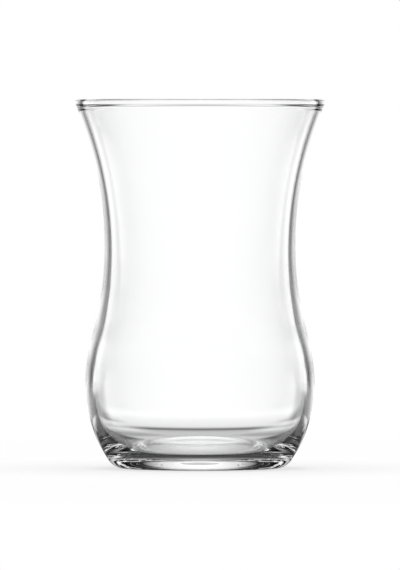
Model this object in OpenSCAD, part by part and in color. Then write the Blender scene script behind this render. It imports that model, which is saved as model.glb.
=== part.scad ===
// A waisted tea glass, one piece of clear glass that is round about the Z axis.
// The table is at Z = 0 under its foot, and its mouth is up. All lengths are millimetres.

/* [Outer form] */
// Height from the table to the top of the lip
glass_h = 92; // [70:1:120]
// Diameter across the lip
rim_d = 62.4; // [54:0.2:76]
// Lean of the wall just under the lip, in degrees from upright
flare_angle = 22; // [12:1:30]
// Diameter at the narrowest place of the waist
waist_d = 47.6; // [42:0.2:54]
// Height of the narrowest place of the waist
waist_h = 55.2; // [48:0.2:62]
// Diameter at the widest place of the bulb
bulb_d = 57.2; // [52:0.2:66]
// Height of the widest place of the bulb
bulb_h = 21.1; // [18:0.1:28]

/* [Walls] */
// Thickness of the wall under the lip, square to it
rim_wall = 1.2; // [0.8:0.1:1.6]
// Thickness of the wall at the waist
waist_wall = 1.8; // [1.2:0.1:3]
// Height of the narrowest place inside the waist
inner_waist_h = 52.5; // [47:0.5:58]
// Thickness of the wall at the bulb
bulb_wall = 2.2; // [1.6:0.1:3.5]
// Height of the widest place inside the bulb
inner_bulb_h = 22; // [17:0.5:28]

/* [Floor] */
// How far the floor's edge lies in from the top of the heel, measured level
floor_edge_inset = 0.4; // [0:0.1:3]
// Height of the floor's edge above the table
floor_edge_h = 6.7; // [6:0.1:9]
// Lean of the inside at the floor's edge, in degrees from level
floor_edge_angle = 52; // [40:1:60]
// Height of the floor's middle above the table
floor_h = 6.2; // [5:0.1:7]

/* [Lip] */
// Thickness of the rounded bead that the lip ends in
bead_d = 1.74; // [1.5:0.02:2]
// Length of the slope from the bead down to the wall inside
bead_slope = 2.2; // [1.8:0.1:3]

/* [Foot] */
// Diameter of the outer edge of the ring that touches the table
ring_d = 37.8; // [34:0.2:42]
// Width of the ring that touches the table
ring_w = 3.6; // [1.5:0.1:5]
// Radius of the rounded heel above the ring
heel_r = 4.7; // [3:0.1:6]
// Height of the hollow under the middle of the foot
hollow_h = 2.2; // [1:0.1:2.4]

/* [Hidden] */

// Smoothness: straight steps along a full curve, along the bead, and around the glass
curve_steps = 28;
bead_steps = 16;
around_steps = 96;

// Angles of the heel where it runs into the wall, and of the bead where its slope begins
heel_angle = 54;
bead_end_angle = 200;

// How far each curve's handles reach, as shares of the height between its two ends
rim_handle_share = 0.33;
waist_up_handle_share = 0.42;
waist_down_handle_share = 0.5;
bulb_up_handle_share = 0.33;
bulb_down_handle_share = 0.365;
heel_handle_share = 0.335;
inner_rim_handle_share = 0.34;
inner_waist_up_handle_share = 0.34;
inner_waist_down_handle_share = 0.58;
inner_bulb_up_handle_share = 0.39;
slope_handle_share = 0.4;

// The same below the inside of the bulb, as shares of the straight line to the floor's edge
inner_bulb_down_handle_share = 0.53;
floor_edge_up_handle_share = 0.21;

// The same across the floor and the hollow, as shares of their radius
floor_edge_handle_share = 0.37;
floor_middle_handle_share = 0.755;
hollow_middle_handle_share = 0.88;
hollow_edge_handle_share = 0.72;

// Directions along and square to the wall under the lip, up the wall above the heel, and down the floor's edge
lip_along = [sin(flare_angle), cos(flare_angle)];
lip_outward = [cos(flare_angle), -sin(flare_angle)];
heel_along = [cos(heel_angle), sin(heel_angle)];
floor_edge_along = [-cos(floor_edge_angle), -sin(floor_edge_angle)];

// Places where the outline's curves meet, as [distance from the axis, height]
bead_centre = [rim_d / 2 - bead_d / 2, glass_h - bead_d / 2];
rim_point = bead_centre + bead_d / 2 * lip_outward;
waist_point = [waist_d / 2, waist_h];
bulb_point = [bulb_d / 2, bulb_h];
heel_centre = [ring_d / 2, heel_r];
heel_point = heel_centre + heel_r * [sin(heel_angle), -cos(heel_angle)];
ring_outer_point = [ring_d / 2, 0];
ring_inner_point = [ring_d / 2 - ring_w, 0];
hollow_point = [0, hollow_h];
inner_rim_point = rim_point - rim_wall * lip_outward - bead_slope * lip_along;
inner_waist_point = [waist_d / 2 - waist_wall, inner_waist_h];
inner_bulb_point = [bulb_d / 2 - bulb_wall, inner_bulb_h];
floor_edge_point = [heel_point.x - floor_edge_inset, floor_edge_h];
floor_point = [0, floor_h];

// Points of a smooth curve from a to d, pulled towards b and then c, without the first
function curve(a, b, c, d, steps) = [
    for (i = [1:steps])
        let (t = i / steps, s = 1 - t)
        s * s * s * a + 3 * s * s * t * b + 3 * s * t * t * c + t * t * t * d
];

// Points of an arc about a centre, without the first; angles in degrees from outwards
function arc(centre, radius, from, to, steps) = [
    for (i = [1:steps])
        let (angle = from + (to - from) * i / steps)
        centre + radius * [cos(angle), sin(angle)]
];

// Heights between the ends of the curves, and the line to the floor's edge, which their handles are shares of
lip_rise = rim_point.y - waist_h;
waist_rise = waist_h - bulb_h;
heel_rise = bulb_h - heel_point.y;
inner_lip_rise = inner_rim_point.y - inner_waist_h;
inner_waist_rise = inner_waist_h - inner_bulb_h;
floor_edge_drop = norm(inner_bulb_point - floor_edge_point);

// Where the bead's arc ends, and the direction in which it runs on down the slope
bead_end = bead_centre + bead_d / 2 * [cos(bead_end_angle), sin(bead_end_angle)];
bead_end_along = [-sin(bead_end_angle), cos(bead_end_angle)];

// Outside of the glass, from the middle of its underside up to the lip
function outer_outline() = concat(
    [hollow_point],
    curve(
        hollow_point,
        [ring_inner_point.x * hollow_middle_handle_share, hollow_h],
        [ring_inner_point.x * hollow_edge_handle_share, 0],
        ring_inner_point,
        curve_steps
    ),
    [ring_outer_point],
    arc(heel_centre, heel_r, -90, heel_angle - 90, bead_steps),
    curve(
        heel_point,
        heel_point + heel_rise * heel_handle_share * heel_along,
        bulb_point - [0, heel_rise * bulb_down_handle_share],
        bulb_point,
        curve_steps
    ),
    curve(
        bulb_point,
        bulb_point + [0, waist_rise * bulb_up_handle_share],
        waist_point - [0, waist_rise * waist_down_handle_share],
        waist_point,
        curve_steps
    ),
    curve(
        waist_point,
        waist_point + [0, lip_rise * waist_up_handle_share],
        rim_point - lip_rise * rim_handle_share * lip_along,
        rim_point,
        curve_steps
    )
);

// Lip, from the outside over the top of the bead and down its slope to the inside
function lip_outline() = concat(
    arc(bead_centre, bead_d / 2, -flare_angle, bead_end_angle, bead_steps),
    curve(
        bead_end,
        bead_end + bead_slope * slope_handle_share * bead_end_along,
        inner_rim_point + bead_slope * slope_handle_share * lip_along,
        inner_rim_point,
        bead_steps
    )
);

// Inside of the glass, from under the lip down to the middle of the floor
function inner_outline() = concat(
    curve(
        inner_rim_point,
        inner_rim_point - inner_lip_rise * inner_rim_handle_share * lip_along,
        inner_waist_point + [0, inner_lip_rise * inner_waist_up_handle_share],
        inner_waist_point,
        curve_steps
    ),
    curve(
        inner_waist_point,
        inner_waist_point - [0, inner_waist_rise * inner_waist_down_handle_share],
        inner_bulb_point + [0, inner_waist_rise * inner_bulb_up_handle_share],
        inner_bulb_point,
        curve_steps
    ),
    curve(
        inner_bulb_point,
        inner_bulb_point - [0, floor_edge_drop * inner_bulb_down_handle_share],
        floor_edge_point - floor_edge_drop * floor_edge_up_handle_share * floor_edge_along,
        floor_edge_point,
        curve_steps
    ),
    curve(
        floor_edge_point,
        floor_edge_point + floor_edge_point.x * floor_edge_handle_share * floor_edge_along,
        [floor_edge_point.x * floor_middle_handle_share, floor_h],
        floor_point,
        curve_steps
    )
);

// The whole glass: bowl, waist, bulb and foot are one piece of glass
module glass_body() {
    color([0.87, 0.92, 0.92, 0.4])
        rotate_extrude($fn = around_steps)
            polygon(concat(outer_outline(), lip_outline(), inner_outline()));
}

glass_body();
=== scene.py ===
import math

import bmesh
import bpy
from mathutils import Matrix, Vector
from mathutils.geometry import interpolate_bezier


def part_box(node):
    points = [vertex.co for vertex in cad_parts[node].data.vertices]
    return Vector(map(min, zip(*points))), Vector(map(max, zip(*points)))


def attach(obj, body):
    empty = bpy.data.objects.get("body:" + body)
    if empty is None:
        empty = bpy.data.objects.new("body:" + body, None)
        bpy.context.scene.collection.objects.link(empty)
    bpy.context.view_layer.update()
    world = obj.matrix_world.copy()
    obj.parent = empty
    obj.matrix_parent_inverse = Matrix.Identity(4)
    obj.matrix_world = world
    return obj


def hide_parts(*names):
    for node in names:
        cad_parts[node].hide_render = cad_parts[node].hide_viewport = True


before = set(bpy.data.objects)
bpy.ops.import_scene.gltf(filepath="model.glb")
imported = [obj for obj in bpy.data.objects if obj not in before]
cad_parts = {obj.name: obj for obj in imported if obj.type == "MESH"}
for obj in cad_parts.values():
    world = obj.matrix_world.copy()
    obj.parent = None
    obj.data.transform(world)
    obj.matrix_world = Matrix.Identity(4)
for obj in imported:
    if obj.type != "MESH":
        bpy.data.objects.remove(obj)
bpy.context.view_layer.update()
scene = bpy.context.scene
MM = 0.001

# The glass: one piece of clear soda-lime glass, blown into a waisted mould and fire-polished at
# the lip. It has a rounded bead round its mouth, a thin wall, a thick base whose floor rises in
# its middle, and a shallow hollow under the foot; it stands on the ring round that hollow.

glass_low, glass_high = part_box("glass_body")
height = glass_high[2] - glass_low[2]
rim_r = (glass_high[0] - glass_low[0]) / 2
flare_angle = math.radians(22)
waist_r, waist_h = 23.8 * MM, 55.2 * MM
bulb_r, bulb_h = 28.6 * MM, 21.1 * MM
rim_wall = 1.2 * MM
inner_waist_r, inner_waist_h = 22.0 * MM, 52.5 * MM
inner_bulb_r, inner_bulb_h = 26.4 * MM, 22 * MM
floor_edge_r, floor_edge_h, floor_edge_angle = 22.3 * MM, 6.7 * MM, math.radians(52)
floor_h = 6.2 * MM
bead_r, bead_slope, bead_end_angle = 0.87 * MM, 2.2 * MM, math.radians(200)
ring_r, ring_w, hollow_h = 18.9 * MM, 3.6 * MM, 2.2 * MM
heel_r, heel_angle = 4.7 * MM, math.radians(54)
fine, coarse, around_axis = 39, 16, 256


def point(across, up):
    """A place on the outline of the glass: so far from its axis, and so high above the table."""
    return Vector((across, 0, up))


def curve_points(start, start_pull, end_pull, end, steps):
    """Points of a smooth curve from start to end, without the first. It leaves along start_pull
    and arrives along end_pull."""
    return interpolate_bezier(start, start + start_pull, end - end_pull, end, steps + 1)[1:]


def arc_points(centre, radius, first, last, steps):
    """Points of an arc about a centre, without the first. Angles run from outwards to up."""
    angles = [first + (last - first) * (i + 1) / steps for i in range(steps)]
    return [centre + radius * point(math.cos(a), math.sin(a)) for a in angles]


lip_along = point(math.sin(flare_angle), math.cos(flare_angle))
lip_outward = point(math.cos(flare_angle), -math.sin(flare_angle))
heel_along = point(math.cos(heel_angle), math.sin(heel_angle))
floor_edge_along = point(-math.cos(floor_edge_angle), -math.sin(floor_edge_angle))
inwards, up = point(-1, 0), point(0, 1)

bead_centre = point(rim_r - bead_r, height - bead_r)
bead_end = bead_centre + bead_r * point(math.cos(bead_end_angle), math.sin(bead_end_angle))
bead_end_along = point(-math.sin(bead_end_angle), math.cos(bead_end_angle))
rim = bead_centre + bead_r * lip_outward
waist = point(waist_r, waist_h)
bulb = point(bulb_r, bulb_h)
heel_centre = point(ring_r, heel_r)
heel = heel_centre + heel_r * point(math.sin(heel_angle), -math.cos(heel_angle))
ring_outer = point(ring_r, 0)
ring_inner = point(ring_r - ring_w, 0)
hollow = point(0, hollow_h)
inner_rim = rim - rim_wall * lip_outward - bead_slope * lip_along
inner_waist = point(inner_waist_r, inner_waist_h)
inner_bulb = point(inner_bulb_r, inner_bulb_h)
floor_edge = point(floor_edge_r, floor_edge_h)
floor_middle = point(0, floor_h)

hollow_pull, hollow_edge_pull = 0.88 * ring_inner.x, 0.28 * ring_inner.x
heel_pull, bulb_down_pull = 0.335 * (bulb_h - heel.z), 0.365 * (bulb_h - heel.z)
bulb_up_pull, waist_down_pull = 0.33 * (waist_h - bulb_h), 0.5 * (waist_h - bulb_h)
waist_up_pull, rim_pull = 0.42 * (rim.z - waist_h), 0.33 * (rim.z - waist_h)
slope_pull = 0.4 * bead_slope
inner_lip_pull = 0.34 * (inner_rim.z - inner_waist_h)
inner_waist_pull = 0.58 * (inner_waist_h - inner_bulb_h)
inner_bulb_up_pull = 0.39 * (inner_waist_h - inner_bulb_h)
inner_bulb_pull = 0.53 * (inner_bulb - floor_edge).length
floor_edge_up_pull = 0.21 * (inner_bulb - floor_edge).length
floor_edge_pull, floor_middle_pull = 0.37 * floor_edge_r, 0.755 * floor_edge_r

outline = [hollow]
outline += curve_points(hollow, -hollow_pull * inwards, -hollow_edge_pull * inwards, ring_inner, fine)
outline += [ring_outer]
outline += arc_points(heel_centre, heel_r, math.radians(-90), heel_angle - math.radians(90), coarse)
outline += curve_points(heel, heel_pull * heel_along, bulb_down_pull * up, bulb, fine)
outline += curve_points(bulb, bulb_up_pull * up, waist_down_pull * up, waist, fine)
outline += curve_points(waist, waist_up_pull * up, rim_pull * lip_along, rim, fine)
outline += arc_points(bead_centre, bead_r, -flare_angle, bead_end_angle, fine)
outline += curve_points(bead_end, slope_pull * bead_end_along, -slope_pull * lip_along, inner_rim, coarse)
outline += curve_points(inner_rim, -inner_lip_pull * lip_along, -inner_lip_pull * up, inner_waist, fine)
outline += curve_points(inner_waist, -inner_waist_pull * up, -inner_bulb_up_pull * up, inner_bulb, fine)
outline += curve_points(inner_bulb, -inner_bulb_pull * up, floor_edge_up_pull * floor_edge_along, floor_edge, fine)
outline += curve_points(
    floor_edge, floor_edge_pull * floor_edge_along, floor_middle_pull * inwards, floor_middle, fine
)

shape = bmesh.new()
chain = [shape.verts.new(place) for place in outline]
for a, b in zip(chain, chain[1:]):
    shape.edges.new((a, b))
bmesh.ops.spin(
    shape, geom=shape.verts[:] + shape.edges[:], cent=(0, 0, 0), axis=(0, 0, 1),
    angle=math.tau, steps=around_axis, use_merge=True,
)
bmesh.ops.remove_doubles(shape, verts=shape.verts[:], dist=0.001 * MM)
bmesh.ops.recalc_face_normals(shape, faces=shape.faces[:])
for face in shape.faces:
    face.smooth = True
glass_mesh = bpy.data.meshes.new("glass")
shape.to_mesh(glass_mesh)
shape.free()
glass = bpy.data.objects.new("glass", glass_mesh)
scene.collection.objects.link(glass)


def clear_glass():
    """Clear soda-lime glass, smooth as fire leaves it. Slow waves from the mould bend the light a
    little, and the lightest film of handling and washing dulls it in patches."""
    material = bpy.data.materials.new("clear_glass")
    material.use_nodes = True
    nodes, links = material.node_tree.nodes, material.node_tree.links
    surface = nodes["Principled BSDF"]
    surface.inputs["Transmission Weight"].default_value = 1
    surface.inputs["IOR"].default_value = 1.52
    place = nodes.new("ShaderNodeTexCoord")
    film = nodes.new("ShaderNodeTexNoise")
    film.inputs["Scale"].default_value = 90
    film.inputs["Detail"].default_value = 4
    links.new(place.outputs["Object"], film.inputs["Vector"])
    dulled = nodes.new("ShaderNodeMapRange")
    dulled.inputs["From Min"].default_value = 0.45
    dulled.inputs["From Max"].default_value = 0.75
    dulled.inputs["To Min"].default_value = 0.0
    dulled.inputs["To Max"].default_value = 0.02
    links.new(film.outputs["Fac"], dulled.inputs["Value"])
    links.new(dulled.outputs["Result"], surface.inputs["Roughness"])
    tint = nodes.new("ShaderNodeMix")
    tint.data_type = "RGBA"
    tint.inputs["A"].default_value = (1, 1, 1, 1)
    tint.inputs["B"].default_value = (0.985, 0.99, 0.988, 1)
    links.new(film.outputs["Fac"], tint.inputs["Factor"])
    links.new(tint.outputs["Result"], surface.inputs["Base Color"])
    waves = nodes.new("ShaderNodeTexNoise")
    waves.inputs["Scale"].default_value = 45
    waves.inputs["Detail"].default_value = 1
    links.new(place.outputs["Object"], waves.inputs["Vector"])
    bump = nodes.new("ShaderNodeBump")
    bump.inputs["Strength"].default_value = 1
    bump.inputs["Distance"].default_value = 0.003 * MM
    links.new(waves.outputs["Fac"], bump.inputs["Height"])
    links.new(bump.outputs["Normal"], surface.inputs["Normal"])
    return material


glass_mesh.materials.append(clear_glass())
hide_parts("glass_body")
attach(glass, "root")

# The camera: level with the lip and far off, so that the mouth shows as a line, and tilted
# down at the middle of the picture.

frame_height, distance_pixels = 570, 11300
foot_row, lip_row = 468.3, 99.0
pixel = height / (foot_row - lip_row)
camera_distance = distance_pixels * pixel
camera_data = bpy.data.cameras.new("camera")
camera_data.sensor_fit = "AUTO"
camera_data.sensor_width = 36
camera_data.lens = camera_data.sensor_width * camera_distance / (frame_height * pixel)
frame_middle = (foot_row - frame_height / 2) * pixel
camera = bpy.data.objects.new("camera", camera_data)
camera.location = (0, -camera_distance, height)
camera.rotation_euler = (math.radians(90) - math.atan((height - frame_middle) / camera_distance), 0, 0)
scene.collection.objects.link(camera)
scene.camera = camera

# The studio turns with the camera, as when a glass is shot on a turntable: the backdrop stays
# behind the glass, and the lights stay at its sides.

turntable = bpy.data.objects.new("turntable", None)
scene.collection.objects.link(turntable)
follow = turntable.constraints.new("COPY_ROTATION")
follow.target = camera
follow.use_x = follow.use_y = False


def soft_window():
    """Node group: 1 where a value is between low and high, 0 outside, with soft edges."""
    group = bpy.data.node_groups.new("soft_window", "ShaderNodeTree")
    for name in ("Value", "Low", "High", "Softness"):
        group.interface.new_socket(name, in_out="INPUT", socket_type="NodeSocketFloat")
    group.interface.new_socket("Mask", in_out="OUTPUT", socket_type="NodeSocketFloat")
    nodes, links = group.nodes, group.links
    given, result = nodes.new("NodeGroupInput"), nodes.new("NodeGroupOutput")
    edges = []
    for limit, rising in (("Low", True), ("High", False)):
        start, end = nodes.new("ShaderNodeMath"), nodes.new("ShaderNodeMath")
        for node, share in ((start, -0.5), (end, 0.5)):
            node.operation = "MULTIPLY_ADD"
            links.new(given.outputs["Softness"], node.inputs[0])
            node.inputs[1].default_value = share
            links.new(given.outputs[limit], node.inputs[2])
        edge = nodes.new("ShaderNodeMapRange")
        edge.interpolation_type = "SMOOTHSTEP"
        links.new(given.outputs["Value"], edge.inputs["Value"])
        links.new(start.outputs[0], edge.inputs["From Min"])
        links.new(end.outputs[0], edge.inputs["From Max"])
        edge.inputs["To Min"].default_value = 0 if rising else 1
        edge.inputs["To Max"].default_value = 1 if rising else 0
        edges.append(edge)
    both = nodes.new("ShaderNodeMath")
    both.operation = "MULTIPLY"
    links.new(edges[0].outputs["Result"], both.inputs[0])
    links.new(edges[1].outputs["Result"], both.inputs[1])
    links.new(both.outputs[0], result.inputs["Mask"])
    return group


window_group = soft_window()


def masked(tree, value, low, high, softness):
    """A soft window node in a tree, on a value."""
    window = tree.nodes.new("ShaderNodeGroup")
    window.node_tree = window_group
    tree.links.new(value, window.inputs["Value"])
    window.inputs["Low"].default_value = low
    window.inputs["High"].default_value = high
    window.inputs["Softness"].default_value = softness
    return window.outputs["Mask"]


def calculated(tree, operation, *values):
    """A maths node in a tree, on sockets and numbers."""
    node = tree.nodes.new("ShaderNodeMath")
    node.operation = operation
    for socket, value in zip(node.inputs, values):
        if isinstance(value, (int, float)):
            socket.default_value = value
        else:
            tree.links.new(value, socket)
    return node.outputs[0]


def bearing(tree):
    """Where a point of the studio is: its degrees from straight behind the glass, its degrees
    above the table's level, and its distance from the axis of the glass."""
    place = tree.nodes.new("ShaderNodeTexCoord").outputs["Object"]
    axes = tree.nodes.new("ShaderNodeSeparateXYZ")
    tree.links.new(place, axes.inputs["Vector"])
    x, y, z = axes.outputs
    square = calculated(tree, "ADD", calculated(tree, "MULTIPLY", x, x), calculated(tree, "MULTIPLY", y, y))
    across = calculated(tree, "SQRT", square)
    aside = calculated(tree, "DEGREES", calculated(tree, "ABSOLUTE", calculated(tree, "ARCTAN2", x, y)))
    above = calculated(tree, "DEGREES", calculated(tree, "ARCTAN2", z, across))
    return aside, above, across


def shares(tree, value, reach, stops):
    """A ramp in a tree: the strength at each stop of a value that runs from 0 to reach."""
    ramp = tree.nodes.new("ShaderNodeValToRGB")
    tree.links.new(calculated(tree, "DIVIDE", value, reach), ramp.inputs["Fac"])
    elements = ramp.color_ramp.elements
    while len(elements) < len(stops):
        elements.new(0.5)
    for element, (place, strength) in zip(elements, stops):
        element.position = place / reach
        element.color = (strength / 2, strength / 2, strength / 2, 1)
    return calculated(tree, "MULTIPLY", ramp.outputs["Color"], 2)


# How bright the studio is around the glass, by degrees from straight behind it: a backdrop that
# falls off to its sides, a black flag, which draws the inner line of the walls, and a side light.

around = (
    (0, 1.2), (7, 1.12), (12, 1.05), (18, 0.86), (23, 0.6), (28, 0.36), (33, 0.1), (38, 0.04), (41.5, 1.1),
    (45, 1.45), (50, 1.35), (57, 1.0), (66, 0.45), (80, 0.1), (130, 0.1), (180, 0.1),
)

# The light tent: the backdrop behind the glass, and on each side of it a flag and a light.

tent_r, tent_z = 5.0, 30 * MM
room, strip_share = 0.02, 0.5
flag_edge, flag_soft = 37, 2
backdrop_top, backdrop_slope, backdrop_soft = 36, 0.8, 14
strip_low, strip_high, strip_soft = 15, 23, 3
side_top, side_soft = 16, 8
tent_shape = bmesh.new()
bmesh.ops.create_uvsphere(tent_shape, u_segments=48, v_segments=24, radius=tent_r)
tent_mesh = bpy.data.meshes.new("light_tent")
tent_shape.to_mesh(tent_mesh)
tent_shape.free()
tent = bpy.data.objects.new("light_tent", tent_mesh)
tent.location = (0, 0, tent_z)
tent.parent = turntable
tent.visible_camera = False
scene.collection.objects.link(tent)


def tent_light():
    """Backdrop, flags and side lights by direction from the glass, with the dim room above them.
    A grey strip across the backdrop draws the second line of the lip."""
    material = bpy.data.materials.new("tent_light")
    material.use_nodes = True
    tree = material.node_tree
    tree.nodes.remove(tree.nodes["Principled BSDF"])
    aside, above, across = bearing(tree)
    bright = shares(tree, aside, 180, around)
    in_middle = masked(tree, aside, -90, flag_edge, flag_soft)
    sloped = calculated(tree, "MULTIPLY_ADD", aside, backdrop_slope, above)
    backdrop = masked(tree, sloped, -90, backdrop_top, backdrop_soft)
    strip = masked(tree, above, strip_low, strip_high, strip_soft)
    backdrop = calculated(tree, "MULTIPLY", backdrop, calculated(tree, "MULTIPLY_ADD", strip, -strip_share, 1))
    sides = masked(tree, above, -90, side_top, side_soft)
    lit = calculated(tree, "MULTIPLY_ADD", calculated(tree, "SUBTRACT", backdrop, sides), in_middle, sides)
    total = calculated(tree, "MULTIPLY_ADD", calculated(tree, "SUBTRACT", bright, room), lit, room)
    light = tree.nodes.new("ShaderNodeEmission")
    tree.links.new(total, light.inputs["Strength"])
    tree.links.new(light.outputs["Emission"], tree.nodes["Material Output"].inputs["Surface"])
    return material


tent_mesh.materials.append(tent_light())

# The table: white paper, with the soft shadow of the glass on it. Through the glass it shows a painted glow instead
# of the paper:
# painted light under the foot and behind, and painted shade round the foot and grey at the sides.

table_r, table_drop = 2.2, 0.05 * MM
pattern_r, white_r, fade = 300 * MM, 200 * MM, 200 * MM
paper_tone, lift_strength = 0.3, 0.75
table_shape = bmesh.new()
bmesh.ops.create_circle(table_shape, cap_ends=True, segments=96, radius=table_r)
table_mesh = bpy.data.meshes.new("table")
table_shape.to_mesh(table_mesh)
table_shape.free()
table = bpy.data.objects.new("table", table_mesh)
table.location = (0, 0, -table_drop)
table.parent = turntable
scene.collection.objects.link(table)

# How bright the table is painted through the glass, by distance from the axis, in four sectors: painted light under
# the foot, a painted shadow of the glass in a dark ring round it, and darker painted bands further out.

behind = (
    (0, 1.3), (14 * MM, 1.2), (17 * MM, 0.6), (21 * MM, 0.5), (26 * MM, 0.65), (42 * MM, 0.7), (51 * MM, 0.6),
    (57 * MM, 0.25), (63 * MM, 0.22), (68 * MM, 0.6), (76 * MM, 0.92), (90 * MM, 1.0), (220 * MM, 1.2),
)
slanting = (
    (0, 1.3), (14 * MM, 1.2), (17 * MM, 0.6), (26 * MM, 0.8), (31 * MM, 0.55), (36 * MM, 0.45), (50 * MM, 1.0),
    (60 * MM, 0.75), (70 * MM, 1.0), (84 * MM, 1.0), (98 * MM, 0.35), (140 * MM, 0.3), (300 * MM, 0.35),
)
beside = ((0, 1.3), (13 * MM, 0.9), (17 * MM, 0.25), (22 * MM, 0.1), (30 * MM, 0.15), (220 * MM, 0.2))
front = ((0, 1.3), (14 * MM, 0.7), (17 * MM, 0.15), (20 * MM, 0.04), (40 * MM, 0.04), (60 * MM, 0.3), (85 * MM, 0.1))


def paper_with_painted_light():
    """Paper that the lamp above lights. The camera sees it lifted to white, with its shadow kept. Other rays see
    only a glow of painted light and shade.
    """
    material = bpy.data.materials.new("paper_with_painted_light")
    material.use_nodes = True
    tree = material.node_tree
    tree.nodes.remove(tree.nodes["Principled BSDF"])
    aside, above, across = bearing(tree)
    # Painted light and shade, seen only through the glass: the table glows brighter or darker by ring and sector.
    painted_light_and_shade = shares(tree, across, pattern_r, front)
    for edge, softness, sector in ((76, 12, beside), (46, 10, slanting), (20, 12, behind)):
        mask = masked(tree, aside, -90, edge, softness)
        inner = shares(tree, across, pattern_r, sector)
        painted_light_and_shade = calculated(tree, "MULTIPLY_ADD", calculated(tree, "SUBTRACT", inner, painted_light_and_shade), mask, painted_light_and_shade)
    # Further out the table is painted with the studio's bright and dark directions, as painted light.
    beyond = shares(tree, aside, 180, around)
    near = masked(tree, across, -1, pattern_r, fade)
    painted_light_and_shade = calculated(tree, "MULTIPLY_ADD", calculated(tree, "SUBTRACT", painted_light_and_shade, beyond), near, beyond)
    seen_in_glass = tree.nodes.new("ShaderNodeEmission")
    tree.links.new(painted_light_and_shade, seen_in_glass.inputs["Strength"])
    paper = tree.nodes.new("ShaderNodeBsdfDiffuse")
    paper.inputs["Color"].default_value = (paper_tone, paper_tone, paper_tone, 1)
    lift = tree.nodes.new("ShaderNodeEmission")
    lift.inputs["Strength"].default_value = lift_strength
    near_glass = tree.nodes.new("ShaderNodeAddShader")
    tree.links.new(paper.outputs["BSDF"], near_glass.inputs[0])
    tree.links.new(lift.outputs["Emission"], near_glass.inputs[1])
    white = tree.nodes.new("ShaderNodeEmission")
    seen_plain = tree.nodes.new("ShaderNodeMixShader")
    tree.links.new(masked(tree, across, -1, white_r, fade), seen_plain.inputs["Fac"])
    tree.links.new(white.outputs["Emission"], seen_plain.inputs[1])
    tree.links.new(near_glass.outputs["Shader"], seen_plain.inputs[2])
    ray = tree.nodes.new("ShaderNodeLightPath")
    both = tree.nodes.new("ShaderNodeMixShader")
    tree.links.new(ray.outputs["Is Camera Ray"], both.inputs["Fac"])
    tree.links.new(seen_in_glass.outputs["Emission"], both.inputs[1])
    tree.links.new(seen_plain.outputs["Shader"], both.inputs[2])
    open_below = tree.nodes.new("ShaderNodeBsdfTransparent")
    facing = tree.nodes.new("ShaderNodeNewGeometry")
    sheet = tree.nodes.new("ShaderNodeMixShader")
    tree.links.new(facing.outputs["Backfacing"], sheet.inputs["Fac"])
    tree.links.new(both.outputs["Shader"], sheet.inputs[1])
    tree.links.new(open_below.outputs["BSDF"], sheet.inputs[2])
    tree.links.new(sheet.outputs["Shader"], tree.nodes["Material Output"].inputs["Surface"])
    return material


table_mesh.materials.append(paper_with_painted_light())

# The lamp above: a wide soft light for the table alone, which gives the glass its shadow.

lamp_data = bpy.data.lights.new("lamp_above", "AREA")
lamp_data.shape = "DISK"
lamp_data.size = 0.9
lamp_data.energy = 9
lamp = bpy.data.objects.new("lamp_above", lamp_data)
lamp.location = (0, 0, 1)
lamp.visible_camera = lamp.visible_glossy = lamp.visible_transmission = False
scene.collection.objects.link(lamp)

# The rest: white beyond the table, and the plain view of the colours.

world = bpy.data.worlds.new("studio")
world.use_nodes = True
scene.world = world
world.node_tree.nodes["Background"].inputs["Color"].default_value = (1, 1, 1, 1)
world.node_tree.nodes["Background"].inputs["Strength"].default_value = 1.0

scene.view_settings.view_transform = "Standard"
scene.cycles.use_denoising = True
scene.cycles.max_bounces = 24
scene.cycles.transmission_bounces = 24
scene.cycles.glossy_bounces = 16
